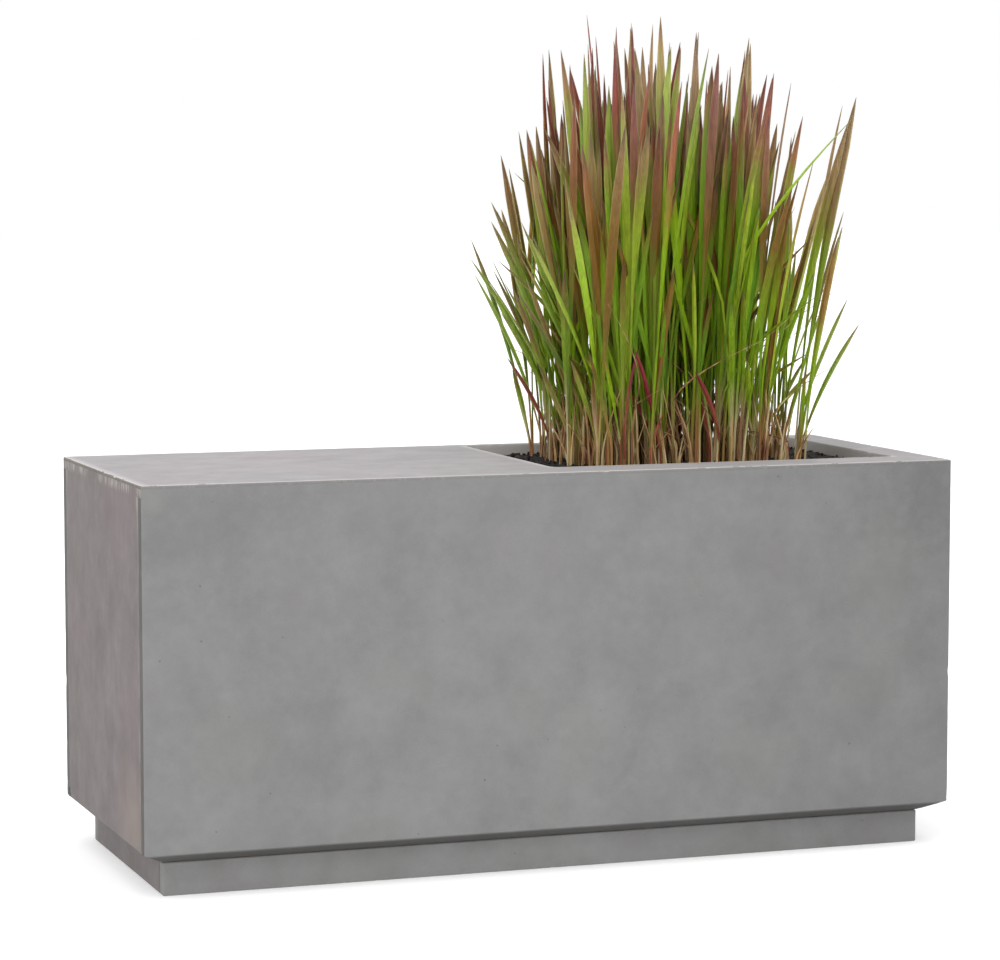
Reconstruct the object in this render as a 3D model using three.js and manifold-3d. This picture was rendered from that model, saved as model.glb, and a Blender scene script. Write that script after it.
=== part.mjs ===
// Bench with planter in fibre cement: a hollow box on a set-back plinth. Its left part is a
// seat and its right part is a trough of soil planted with upright grass.
// Millimetres, Z up, floor at zero, origin under the middle, the long front towards -Y.

import * as THREE from 'three';
import { mergeGeometries, mergeVertices } from 'three/addons/utils/BufferGeometryUtils.js';
import Module from 'manifold-3d';

// Bench body
const benchLength = 1000;
const benchDepth = 400;
const seatHeight = 470;
const panelThickness = 15;
const topThickness = 14;
const cornerRadius = 4;
const arrisRadius = 3;

// Lower edge of the body, which slopes in and down to the plinth
const edgeHeight = 53;
const lipThickness = 15;

// Plinth
const plinthHeight = 39;
const plinthInset = 28;
const plinthThickness = 15;
const plinthCornerRadius = 2;

// Trough
const seatLength = 512;
const frontRim = 66;
const rightRim = 45;
const wallThickness = 15;
const floorThickness = 15;
const openingCornerRadius = 8;
const drainHoleDiameter = 20;
const drainHoleShares = [[0.25, 0.3], [0.75, 0.3], [0.25, 0.7], [0.75, 0.7]];

// Stiffening under the seat and in the corners
const ribCount = 3;
const ribThickness = 15;
const ribDepth = 60;
const ribHaunch = 35;
const cornerBlockSize = 28;
const cornerBlockChamfer = 10;

// Filling of the trough
const drainageDepth = 50;
const soilBelowRim = 12;
const soilRipple = 2.5;
const soilCell = 26;
const rippleShares = [[3.1, 1.3, 0.45], [1.7, 4.2, 0.35], [6.3, 5.1, 0.2]];

// Grass
const clumpCount = 4;
const soilMarginLeft = 68;
const soilMarginRight = 56;
const soilMarginFront = 74;
const soilMarginBack = 60;
const crownThickness = 12;
const crownRise = 2;
const crownCornerRadius = 6;
const crownMargin = 4;
const bladeColumns = 7;
const bladeRows = 14;
const bladeLength = 566;
const bladeWidth = 8.5;
const bladeThickness = 2.6;
const leanLeft = 132;
const leanRight = 84;
const leanFront = 92;
const leanBack = 62;
const bladeStationShares = [0, 0.36, 0.7];
const bladeWidthShares = [0.42, 1, 0.74];
const sectionShares = [[-0.5, -0.4], [0.5, -0.4], [0, 0.6]];
const bladeCurveShare = 1.6;
const innerLeanShare = 0.3;
const edgePowerShare = 6;
const shoulderShare = 0.46;
const lengthScatterShare = 0.3;
const rootScatterShare = 0.16;
const goldenShare = 0.6180340;
const silverShare = 0.4142136;

// Clearances and cutting
const fitClearance = 0.3;
const cutOverrun = 5;
const weldDistance = 0.0001;
const cornerSteps = 4;
const arrisSteps = 3;
const holeSides = 24;
const dimensions = 3;

// Places that follow from the sizes
const leftEnd = -benchLength / 2;
const rightEnd = benchLength / 2;
const frontFace = -benchDepth / 2;
const backFace = benchDepth / 2;
const panelTop = seatHeight - topThickness;
const ledgeDepth = plinthInset + plinthThickness;
const ledgeHeight = plinthHeight + lipThickness;
const kneeHeight = edgeHeight + lipThickness;
const floorTop = ledgeHeight + floorThickness;
const openingLeft = leftEnd + seatLength;
const openingRight = rightEnd - rightRim;
const openingFront = frontFace + frontRim;
const openingBack = backFace - panelThickness;
const openingLength = openingRight - openingLeft;
const openingDepth = openingBack - openingFront;
const dividerLeft = openingLeft - wallThickness;
const drainageTop = floorTop + drainageDepth;
const soilLevel = seatHeight - soilBelowRim;
const crownTop = soilLevel + crownRise;
const crownBottom = crownTop - crownThickness;
const plantedLeft = openingLeft + soilMarginLeft;
const plantedFront = openingFront + soilMarginFront;
const plantedLength = openingRight - soilMarginRight - plantedLeft;
const plantedDepth = openingBack - soilMarginBack - plantedFront;

// Solids and geometry
const wasm = await Module();
wasm.setup();

function solidFrom(geometry) {
  const bare = geometry.clone();
  bare.deleteAttribute('normal');
  bare.deleteAttribute('uv');
  const merged = mergeVertices(bare, weldDistance);
  return new wasm.Manifold(new wasm.Mesh({
    numProp: dimensions,
    vertProperties: new Float32Array(merged.attributes.position.array),
    triVerts: new Uint32Array(merged.index.array),
  }));
}

function geometryFrom(solid) {
  const mesh = solid.getMesh();
  const geometry = new THREE.BufferGeometry();
  geometry.setAttribute('position', new THREE.BufferAttribute(mesh.vertProperties, dimensions));
  geometry.setIndex(new THREE.BufferAttribute(mesh.triVerts, 1));
  geometry.computeVertexNormals();
  return geometry;
}

// A box between two opposite corners
function block(low, high) {
  const size = high.map((value, axis) => value - low[axis]);
  const middle = high.map((value, axis) => (value + low[axis]) / 2);
  return solidFrom(new THREE.BoxGeometry(...size).translate(...middle));
}

// A flat outline pushed up from one height to another
function prism(points, bottom, top) {
  const shape = new THREE.Shape(points.map(([x, y]) => new THREE.Vector2(x, y)));
  const geometry = new THREE.ExtrudeGeometry(shape, { depth: top - bottom, bevelEnabled: false });
  return solidFrom(geometry.translate(0, 0, bottom));
}

// One level of a stack: a rectangle with round corners, drawn in by its inset
function roundedRing(length, depth, radius, inset) {
  const reach = [length / 2 - inset - radius, depth / 2 - inset - radius];
  const points = [];
  for (let corner = 0; corner < 4; corner += 1) {
    const sideX = corner === 0 || corner === 3 ? 1 : -1;
    const sideY = corner < 2 ? 1 : -1;
    for (let step = 0; step <= cornerSteps; step += 1) {
      const angle = (corner + step / cornerSteps) * Math.PI / 2;
      points.push([
        sideX * reach[0] + radius * Math.cos(angle),
        sideY * reach[1] + radius * Math.sin(angle),
      ]);
    }
  }
  return points;
}

// A closed stack of rings, each with its own height and inset, centred on a place
function roundedStack(length, depth, radius, levels, centre = [0, 0]) {
  const positions = [];
  const faces = [];
  const rings = levels.map(({ inset }) => roundedRing(length, depth, radius, inset));
  const count = rings[0].length;
  rings.forEach((ring, level) => {
    ring.forEach(([x, y]) => positions.push(centre[0] + x, centre[1] + y, levels[level].height));
  });
  for (let level = 0; level + 1 < rings.length; level += 1) {
    for (let point = 0; point < count; point += 1) {
      const next = (point + 1) % count;
      const low = level * count;
      const high = low + count;
      faces.push(low + point, low + next, high + next, low + point, high + next, high + point);
    }
  }
  const last = (rings.length - 1) * count;
  for (let point = 1; point + 1 < count; point += 1) {
    faces.push(0, point + 1, point, last, last + point, last + point + 1);
  }
  const geometry = new THREE.BufferGeometry();
  geometry.setAttribute('position', new THREE.Float32BufferAttribute(positions, dimensions));
  geometry.setIndex(faces);
  return solidFrom(geometry);
}

// Levels of a worn top edge: a quarter round that draws in, or flares out where turn is -1
function arrisLevels(turn) {
  const levels = [];
  for (let step = 0; step <= arrisSteps; step += 1) {
    const angle = step / arrisSteps * Math.PI / 2;
    levels.push({
      height: seatHeight - arrisRadius + arrisRadius * Math.sin(angle),
      inset: turn * arrisRadius * (1 - Math.cos(angle)),
    });
  }
  return levels;
}

// The outside of the whole body, with its sloping lower edge and worn top edge
function bodyEnvelope(length, depth) {
  const levels = [
    { height: plinthHeight, inset: plinthInset },
    { height: edgeHeight, inset: 0 },
    ...arrisLevels(1),
  ];
  return roundedStack(length, depth, cornerRadius, levels, [0, depth / 2]);
}

// Materials
function finish(color, roughness) {
  return new THREE.MeshStandardMaterial({ color, roughness, metalness: 0, flatShading: true });
}

const fibreCement = finish('#908e8d', 0.8);
const seatCement = finish('#b4b0b1', 0.75);
const plinthCement = finish('#838180', 0.85);
const rawCement = finish('#7d7b79', 0.9);
const expandedClay = finish('#8a5f45', 0.95);
const soil = finish('#2f2321', 1);
const grass = finish('#6c8a2c', 0.6);

// Every piece is modelled about its own anchor and set down there
function place(group, name, solid, material, anchor, turn = 0) {
  const mesh = new THREE.Mesh(geometryFrom(solid), material);
  mesh.name = name;
  mesh.position.set(...anchor);
  mesh.rotation.z = turn;
  group.add(mesh);
}

// Wall panel: outer face at zero, inside towards +Y, with the inward lip that carries the
// floor. Its length runs along X about the middle.
function wallPanel(length, depth) {
  const profile = new THREE.Shape([
    [0, plinthHeight],
    [ledgeDepth, plinthHeight],
    [ledgeDepth, ledgeHeight],
    [plinthInset, ledgeHeight],
    [panelThickness, kneeHeight],
    [panelThickness, panelTop],
    [0, panelTop],
  ].map(([inward, height]) => new THREE.Vector2(inward, height)));
  const geometry = new THREE.ExtrudeGeometry(profile, { depth: length, bevelEnabled: false });
  const toWall = new THREE.Matrix4().makeBasis(
    new THREE.Vector3(0, 1, 0),
    new THREE.Vector3(0, 0, 1),
    new THREE.Vector3(1, 0, 0),
  );
  geometry.applyMatrix4(toWall).translate(-length / 2, 0, 0);
  return solidFrom(geometry).intersect(bodyEnvelope(length, depth));
}

// Both ends of a panel are cut alike, so a cut is an outline of distances from the end and
// from the outer face
function cutEnds(panel, length, outline) {
  const sides = [-1, 1];
  return sides.reduce((solid, side) => {
    const points = outline.map(([along, inward]) => [side * (length / 2 - along), inward]);
    return solid.subtract(prism(points, 0, seatHeight));
  }, panel);
}

// Front and back panels run the whole length, and their lips are mitred
function longPanel() {
  const reach = ledgeDepth + cutOverrun;
  return cutEnds(wallPanel(benchLength, benchDepth), benchLength, [
    [-cutOverrun, panelThickness],
    [panelThickness, panelThickness],
    [reach, reach],
    [-cutOverrun, reach],
  ]);
}

// End panels stand between the long panels, and their lips meet the mitres
function endPanel() {
  const reach = ledgeDepth + cutOverrun;
  const mitreGap = fitClearance * Math.SQRT2;
  return cutEnds(wallPanel(benchDepth, benchLength), benchDepth, [
    [-cutOverrun, -cutOverrun],
    [panelThickness, -cutOverrun],
    [panelThickness, panelThickness - mitreGap],
    [reach + mitreGap, reach],
    [-cutOverrun, reach],
  ]);
}

// Top slab: seat and rim in one cast, with the trough's opening and its worn edges
function topSlab() {
  const slab = bodyEnvelope(benchLength, benchDepth).translate([0, frontFace, 0]).intersect(
    block([leftEnd, frontFace, panelTop], [rightEnd, backFace, seatHeight]),
  );
  const levels = [
    { height: panelTop - cutOverrun, inset: 0 },
    ...arrisLevels(-1),
    { height: seatHeight + cutOverrun, inset: -arrisRadius },
  ];
  const middle = [(openingLeft + openingRight) / 2, (openingFront + openingBack) / 2];
  const opening = roundedStack(openingLength, openingDepth, openingCornerRadius, levels, middle);
  return slab.subtract(opening).translate([0, 0, -panelTop]);
}

function makeBody() {
  const body = new THREE.Group();
  place(body, 'top_slab', topSlab(), seatCement, [0, 0, panelTop]);
  place(body, 'front_panel', longPanel(), fibreCement, [0, frontFace, 0]);
  place(body, 'back_panel', longPanel(), fibreCement, [0, backFace, 0], Math.PI);
  place(body, 'left_end_panel', endPanel(), fibreCement, [leftEnd, 0, 0], -Math.PI / 2);
  place(body, 'right_end_panel', endPanel(), fibreCement, [rightEnd, 0, 0], Math.PI / 2);
  return body;
}

// Plinth: four boards under the lips, and a cross board under the divider
function plinthOutline() {
  const length = benchLength - 2 * plinthInset;
  const depth = benchDepth - 2 * plinthInset;
  const levels = [{ height: 0, inset: 0 }, { height: plinthHeight, inset: 0 }];
  return roundedStack(length, depth, plinthCornerRadius, levels);
}

function plinthLongBoard() {
  const halfLength = benchLength / 2 - plinthInset;
  const outside = frontFace + plinthInset;
  const inside = frontFace + ledgeDepth;
  const board = block([-halfLength, outside, 0], [halfLength, inside, plinthHeight]);
  return plinthOutline().intersect(board).translate([0, -outside, 0]);
}

function plinthEndBoard() {
  const halfDepth = benchDepth / 2 - ledgeDepth;
  return block([0, -halfDepth, 0], [plinthThickness, halfDepth, plinthHeight]);
}

function plinthCrossBoard() {
  const halfDepth = benchDepth / 2 - ledgeDepth;
  return block([0, -halfDepth, 0], [wallThickness, halfDepth, ledgeHeight]);
}

function makePlinth() {
  const plinth = new THREE.Group();
  const front = frontFace + plinthInset;
  const left = leftEnd + plinthInset;
  place(plinth, 'plinth_front', plinthLongBoard(), plinthCement, [0, front, 0]);
  place(plinth, 'plinth_back', plinthLongBoard(), plinthCement, [0, -front, 0], Math.PI);
  place(plinth, 'plinth_left', plinthEndBoard(), plinthCement, [left, 0, 0]);
  place(plinth, 'plinth_right', plinthEndBoard(), plinthCement, [-left, 0, 0], Math.PI);
  place(plinth, 'plinth_cross_board', plinthCrossBoard(), rawCement, [dividerLeft, 0, 0]);
  return plinth;
}

// Trough: a floor on the lips, and a divider and two inner walls that stand on it. The back
// panel is its fourth wall.
function troughFloor() {
  const right = rightEnd - plinthInset - fitClearance;
  const halfDepth = benchDepth / 2 - plinthInset - fitClearance;
  const plate = block([dividerLeft, -halfDepth, 0], [right, halfDepth, floorThickness]);
  return drainHoleShares.reduce((solid, [alongShare, acrossShare]) => {
    const radius = drainHoleDiameter / 2;
    const height = floorThickness + 2 * cutOverrun;
    const hole = new THREE.CylinderGeometry(radius, radius, height, holeSides);
    hole.rotateX(Math.PI / 2);
    hole.translate(
      openingLeft + alongShare * openingLength,
      openingFront + acrossShare * openingDepth,
      floorThickness / 2,
    );
    return solid.subtract(solidFrom(hole));
  }, plate);
}

function dividerPanel() {
  const halfDepth = benchDepth / 2 - panelThickness;
  return block([0, -halfDepth, 0], [wallThickness, halfDepth, panelTop - floorTop]);
}

function troughFrontWall() {
  const length = openingLength + wallThickness;
  return block([0, -wallThickness, 0], [length, 0, panelTop - floorTop]);
}

function troughRightWall() {
  return block([0, 0, 0], [wallThickness, openingDepth, panelTop - floorTop]);
}

function makeTrough() {
  const trough = new THREE.Group();
  const front = [openingLeft, openingFront, floorTop];
  const right = [openingRight, openingFront, floorTop];
  place(trough, 'trough_floor', troughFloor(), rawCement, [0, 0, ledgeHeight]);
  place(trough, 'divider_panel', dividerPanel(), rawCement, [dividerLeft, 0, floorTop]);
  place(trough, 'trough_front_wall', troughFrontWall(), fibreCement, front);
  place(trough, 'trough_right_wall', troughRightWall(), fibreCement, right);
  return trough;
}

// Seat ribs: haunched plates bonded between the long panels under the seat
function seatRib() {
  const halfDepth = benchDepth / 2 - panelThickness;
  const profile = new THREE.Shape([
    [-halfDepth, 0],
    [-halfDepth, -ribDepth - ribHaunch],
    [-halfDepth + ribHaunch, -ribDepth],
    [halfDepth - ribHaunch, -ribDepth],
    [halfDepth, -ribDepth - ribHaunch],
    [halfDepth, 0],
  ].map(([across, height]) => new THREE.Vector2(across, height)));
  const geometry = new THREE.ExtrudeGeometry(profile, { depth: ribThickness, bevelEnabled: false });
  const toRib = new THREE.Matrix4().makeBasis(
    new THREE.Vector3(0, 1, 0),
    new THREE.Vector3(0, 0, 1),
    new THREE.Vector3(1, 0, 0),
  );
  return solidFrom(geometry.applyMatrix4(toRib).translate(-ribThickness / 2, 0, 0));
}

// Corner block: an upright strip bonded into the corner of two panels, its free edge cut off
function cornerBlock(width, sideX, sideY) {
  const chamfer = Math.min(cornerBlockChamfer, width / 2);
  const outline = [
    [0, 0],
    [width, 0],
    [width, cornerBlockSize - chamfer],
    [width - chamfer, cornerBlockSize],
    [0, cornerBlockSize],
  ].map(([x, y]) => [sideX * x, sideY * y]);
  return prism(outline, 0, panelTop - floorTop);
}

function makeStiffening() {
  const stiffening = new THREE.Group();
  const hollowStart = leftEnd + panelThickness;
  const pitch = (dividerLeft - hollowStart) / (ribCount + 1);
  for (let rib = 1; rib <= ribCount; rib += 1) {
    const anchor = [hollowStart + rib * pitch, 0, panelTop];
    place(stiffening, `seat_rib_${rib}`, seatRib(), rawCement, anchor);
  }
  const rightGap = rightRim - wallThickness - panelThickness;
  const corners = [
    { name: 'front_left', sideX: 1, sideY: 1, width: cornerBlockSize },
    { name: 'back_left', sideX: 1, sideY: -1, width: cornerBlockSize },
    { name: 'front_right', sideX: -1, sideY: 1, width: cornerBlockSize },
    { name: 'back_right', sideX: -1, sideY: -1, width: rightGap },
  ];
  corners.forEach(({ name, sideX, sideY, width }) => {
    const anchor = [
      -sideX * (benchLength / 2 - panelThickness),
      -sideY * (benchDepth / 2 - panelThickness),
      floorTop,
    ];
    const solid = cornerBlock(width, sideX, sideY);
    place(stiffening, `corner_block_${name}`, solid, rawCement, anchor);
  });
  return stiffening;
}

// Drainage layer: expanded clay over the drain holes
function drainageLayer() {
  const low = [openingLeft + fitClearance, openingFront + fitClearance, 0];
  const high = [openingRight - fitClearance, openingBack - fitClearance, drainageDepth];
  return block(low, high);
}

// Places of one clump's crown: a slice of the planted strip, with a joint to the next one
function crownCentre(clump) {
  const width = plantedLength / clumpCount;
  return [plantedLeft + (clump + 1 / 2) * width, plantedFront + plantedDepth / 2];
}

function crownSlice(clump) {
  const width = plantedLength / clumpCount - fitClearance;
  const levels = [
    { height: crownBottom, inset: 0 },
    { height: crownTop, inset: 0 },
  ];
  return roundedStack(width, plantedDepth, crownCornerRadius, levels, crownCentre(clump));
}

// Potting soil: it fills the trough, its top is a sum of shallow waves, and it holds the
// crowns in pockets
function soilHeight(x, y) {
  const u = (x - openingLeft) / openingLength;
  const v = (y - openingFront) / openingDepth;
  return rippleShares.reduce((height, [alongShare, acrossShare, weightShare]) => {
    const wave = Math.sin(2 * Math.PI * (alongShare * u + acrossShare * v));
    return height + soilRipple * weightShare * wave;
  }, soilLevel);
}

function pottingSoil() {
  const length = openingLength - 2 * fitClearance;
  const depth = openingDepth - 2 * fitClearance;
  const columns = Math.round(length / soilCell);
  const rows = Math.round(depth / soilCell);
  const reach = 2 * cutOverrun;
  const height = soilLevel - drainageTop;
  const middle = [(openingLeft + openingRight) / 2, (openingFront + openingBack) / 2];
  const geometry = new THREE.BoxGeometry(length + reach, depth + reach, height, columns, rows, 1);
  geometry.translate(middle[0], middle[1], drainageTop + height / 2);
  const points = geometry.attributes.position;
  for (let point = 0; point < points.count; point += 1) {
    if (points.getZ(point) > drainageTop + height / 2) {
      points.setZ(point, soilHeight(points.getX(point), points.getY(point)));
    }
  }
  const levels = [
    { height: drainageTop, inset: 0 },
    { height: seatHeight, inset: 0 },
  ];
  const filled = roundedStack(length, depth, openingCornerRadius, levels, middle);
  const pocket = block(
    [plantedLeft - fitClearance, plantedFront - fitClearance, crownBottom - fitClearance],
    [plantedLeft + plantedLength + fitClearance, plantedFront + plantedDepth + fitClearance, seatHeight],
  );
  const bed = filled.intersect(solidFrom(geometry)).subtract(pocket);
  return bed.translate([0, 0, -drainageTop]);
}

// Repeatable scatter between -1 and 1 for the blade of a given number
function scatter(number, share) {
  return 2 * ((number * share) % 1) - 1;
}

// How far a root at this share of the planting leans: little inside, much at the edge
function leanAt(share, towardsLow, towardsHigh) {
  const strength = innerLeanShare + (1 - innerLeanShare) * Math.abs(share) ** edgePowerShare;
  return share * strength * (share < 0 ? towardsLow : towardsHigh);
}

// One blade: three-sided rings at rising stations that narrow to a point. Its foot stands
// inside the crown, and the blade bends away from upright by a power of its height.
function grassBlade(root, lean, length, turn) {
  const positions = [];
  const faces = [];
  const sides = sectionShares.length;
  const foot = crownTop - crownThickness / 2;
  bladeStationShares.forEach((station, ring) => {
    const bend = station ** bladeCurveShare;
    const width = bladeWidth * bladeWidthShares[ring];
    const thickness = bladeThickness * bladeWidthShares[ring];
    sectionShares.forEach(([acrossShare, outShare]) => {
      const across = width * acrossShare;
      const out = thickness * outShare;
      positions.push(
        root[0] + lean[0] * bend + across * Math.cos(turn) - out * Math.sin(turn),
        root[1] + lean[1] * bend + across * Math.sin(turn) + out * Math.cos(turn),
        foot + length * station,
      );
    });
  });
  positions.push(root[0] + lean[0], root[1] + lean[1], foot + length);
  const rings = bladeStationShares.length;
  const tip = rings * sides;
  for (let side = 0; side < sides; side += 1) {
    const next = (side + 1) % sides;
    for (let ring = 0; ring + 1 < rings; ring += 1) {
      const low = ring * sides;
      const high = low + sides;
      faces.push(low + side, low + next, high + next, low + side, high + next, high + side);
    }
    faces.push(tip - sides + side, tip - sides + next, tip);
  }
  for (let side = 1; side + 1 < sides; side += 1) {
    faces.push(0, side + 1, side);
  }
  const geometry = new THREE.BufferGeometry();
  geometry.setAttribute('position', new THREE.Float32BufferAttribute(positions, dimensions));
  geometry.setIndex(faces);
  return geometry;
}

// A clump: blades in staggered rows, fused to their slice of root crown
function grassClump(clump) {
  const pitchX = (plantedLength / clumpCount - 2 * crownMargin) / bladeColumns;
  const pitchY = (plantedDepth - 2 * crownMargin) / bladeRows;
  const centre = crownCentre(clump);
  const planting = [plantedLeft + plantedLength / 2, centre[1]];
  const blades = [];
  for (let row = 0; row < bladeRows; row += 1) {
    for (let column = 0; column < bladeColumns; column += 1) {
      const number = (clump * bladeRows + row) * bladeColumns + column + 1;
      const stagger = (row % 2) / 2 - 1 / 4;
      const root = [
        centre[0] + pitchX * (column + 1 / 2 - bladeColumns / 2 + stagger)
          + pitchX * rootScatterShare * scatter(number, goldenShare),
        centre[1] + pitchY * (row + 1 / 2 - bladeRows / 2)
          + pitchY * rootScatterShare * scatter(number, silverShare),
      ];
      const alongShare = (root[0] - planting[0]) / (plantedLength / 2);
      const acrossShare = (root[1] - planting[1]) / (plantedDepth / 2);
      const lean = [
        leanAt(alongShare, leanLeft, leanRight),
        leanAt(acrossShare, leanFront, leanBack),
      ];
      const shoulder = Math.max(Math.abs(alongShare), Math.abs(acrossShare)) ** edgePowerShare;
      const random = (1 + scatter(number, goldenShare + silverShare)) / 2;
      const height = bladeLength * (1 - shoulderShare * shoulder) * (1 - lengthScatterShare * random);
      blades.push(grassBlade(root, lean, height, Math.PI * scatter(number, silverShare)));
    }
  }
  const tuft = solidFrom(mergeGeometries(blades));
  return crownSlice(clump).add(tuft).translate([-centre[0], -centre[1], -crownBottom]);
}

function makePlanting() {
  const planting = new THREE.Group();
  const clay = [0, 0, floorTop];
  place(planting, 'drainage_layer', drainageLayer(), expandedClay, clay);
  place(planting, 'potting_soil', pottingSoil(), soil, [0, 0, drainageTop]);
  for (let clump = 0; clump < clumpCount; clump += 1) {
    const anchor = [...crownCentre(clump), crownBottom];
    place(planting, `grass_clump_${clump + 1}`, grassClump(clump), grass, anchor);
  }
  return planting;
}

const bench = new THREE.Group();
bench.add(makeBody(), makePlinth(), makeTrough(), makeStiffening(), makePlanting());

export default bench;
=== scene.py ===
import math

import bpy
import numpy as np
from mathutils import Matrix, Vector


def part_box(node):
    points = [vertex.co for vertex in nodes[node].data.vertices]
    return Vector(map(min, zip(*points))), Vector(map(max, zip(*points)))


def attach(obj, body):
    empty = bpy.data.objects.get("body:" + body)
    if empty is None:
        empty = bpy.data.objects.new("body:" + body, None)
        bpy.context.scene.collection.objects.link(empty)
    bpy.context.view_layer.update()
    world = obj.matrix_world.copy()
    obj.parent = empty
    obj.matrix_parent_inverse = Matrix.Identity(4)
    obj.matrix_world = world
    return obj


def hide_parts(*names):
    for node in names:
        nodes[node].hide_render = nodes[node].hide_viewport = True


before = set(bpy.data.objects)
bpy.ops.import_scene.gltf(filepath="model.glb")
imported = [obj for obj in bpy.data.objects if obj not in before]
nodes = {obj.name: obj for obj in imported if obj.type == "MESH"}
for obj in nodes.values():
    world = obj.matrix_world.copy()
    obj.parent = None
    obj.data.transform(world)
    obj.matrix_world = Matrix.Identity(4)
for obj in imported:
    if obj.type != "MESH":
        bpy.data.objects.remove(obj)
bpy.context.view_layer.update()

# Camera: a long lens left of the bench, a little above seat height, as in the photograph.
camera_place = (-1.38458, -3.88143, 0.83250)
camera_turn = math.radians(19.547)
camera_dip = math.radians(5.398)
camera_lens = 122.956

camera_data = bpy.data.cameras.new("camera")
camera_data.lens = camera_lens
camera_data.sensor_width = 36
camera_data.clip_end = 200
camera = bpy.data.objects.new("camera", camera_data)
camera.location = camera_place
camera.rotation_euler = (math.pi / 2 - camera_dip, 0, -camera_turn)
bpy.context.scene.collection.objects.link(camera)
bpy.context.scene.camera = camera

# Plinth: four boards of fibre cement, cast flat in trays, sawn to length and glued under the
# body 28 mm in from its faces, where they stand in its shade. A fifth board crosses under the
# divider, out of sight.
plinth_height = 0.039
plinth_inset = 0.028
board_thickness = 0.015
bench_length = 1.0
bench_depth = 0.4
crisp_angle = math.radians(50)
arris = 0.002
board_step = 0.004
board_wear = 0.0006
butt_joint = 0.0015
wear_reach = 0.006
chip_length = 0.009
chip_group = 0.05
grind_length = 0.03
face_dip = 0.0003
dip_length = 0.17
dip_margin = 0.03
cloud_size = 0.06
mottle_size = 0.014
grain_size = 0.0022
patch_size = 0.17
streak_size = 0.012
smear_width = 0.0045
pinhole_spacing = 0.016
filler_heights = (0.455, 0.462)
arris_line_height = 0.4692
filler_grey = "#a09b96"
joint_and_shade_dark = "#454442"


def linear(code):
    """An sRGB hex colour as linear red, green, blue and alpha: each channel is c / 12.92 below
    0.04045, and ((c + 0.055) / 1.055) to the power 2.4 above."""
    channels = [int(code[place:place + 2], 16) / 255 for place in (1, 3, 5)]
    return (*[c / 12.92 if c < 0.04045 else ((c + 0.055) / 1.055) ** 2.4 for c in channels], 1)


def node(tree, kind, settings={}, links={}):
    """Adds a node of one kind. Settings are the node's own properties, its inputs by name or
    number, or the stops of its ramp; links give the sockets that feed its inputs."""
    made = tree.nodes.new("ShaderNode" + kind)
    for key, value in settings.items():
        if key == "stops":
            made.color_ramp.elements.remove(made.color_ramp.elements[1])
            made.color_ramp.elements[0].position = value[0][0]
            made.color_ramp.elements[0].color = value[0][1]
            for place, colour in value[1:]:
                made.color_ramp.elements.new(place).color = colour
        elif isinstance(key, str) and hasattr(made, key):
            setattr(made, key, value)
        else:
            made.inputs[key].default_value = value
    for key, socket in links.items():
        tree.links.new(socket, made.inputs[key])
    return made


def new_material(name):
    """An empty material with its surface shader and the piece's own coordinates in metres."""
    material = bpy.data.materials.new(name)
    material.use_nodes = True
    tree = material.node_tree
    shader = tree.nodes["Principled BSDF"]
    place = node(tree, "TexCoord").outputs["Object"]
    return material, tree, shader, place


def noise(tree, place, length, detail, roughness=0.5, stretch=None):
    """Clouds of about one length. Stretch scales the coordinates first, so that less than 1
    draws the clouds out along that axis."""
    if stretch:
        place = node(tree, "Mapping", {"Scale": stretch}, {"Vector": place}).outputs[0]
    settings = {"Scale": 1 / length, "Detail": detail, "Roughness": roughness}
    return node(tree, "TexNoise", settings, {"Vector": place}).outputs[0]


def maths(tree, operation, *terms):
    """One step of arithmetic on numbers in a shader. A term is a socket or a plain number."""
    numbers = {at: term for at, term in enumerate(terms) if isinstance(term, (int, float))}
    sockets = {at: term for at, term in enumerate(terms) if at not in numbers}
    return node(tree, "Math", {"operation": operation, **numbers}, sockets).outputs[0]


def span(tree, value, low, high, start=0.0, end=1.0, way="LINEAR"):
    """A value carried from low..high to start..end and held at both ends."""
    limits = {"From Min": low, "From Max": high, "To Min": start, "To Max": end}
    return node(
        tree, "MapRange", {"interpolation_type": way, **limits}, {"Value": value}
    ).outputs[0]


def tint(tree, base, colour, share):
    """An sRGB hex colour mixed over a base by its share."""
    return node(
        tree, "Mix", {"data_type": "RGBA", 7: linear(colour)}, {0: share, 6: base}
    ).outputs[2]


def ramp(tree, value, *stops):
    """The colour that a value picks between stops, each a place and an sRGB hex colour."""
    colours = [(at, linear(code)) for at, code in stops]
    return node(tree, "ValToRGB", {"stops": colours}, {0: value}).outputs[0]


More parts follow.
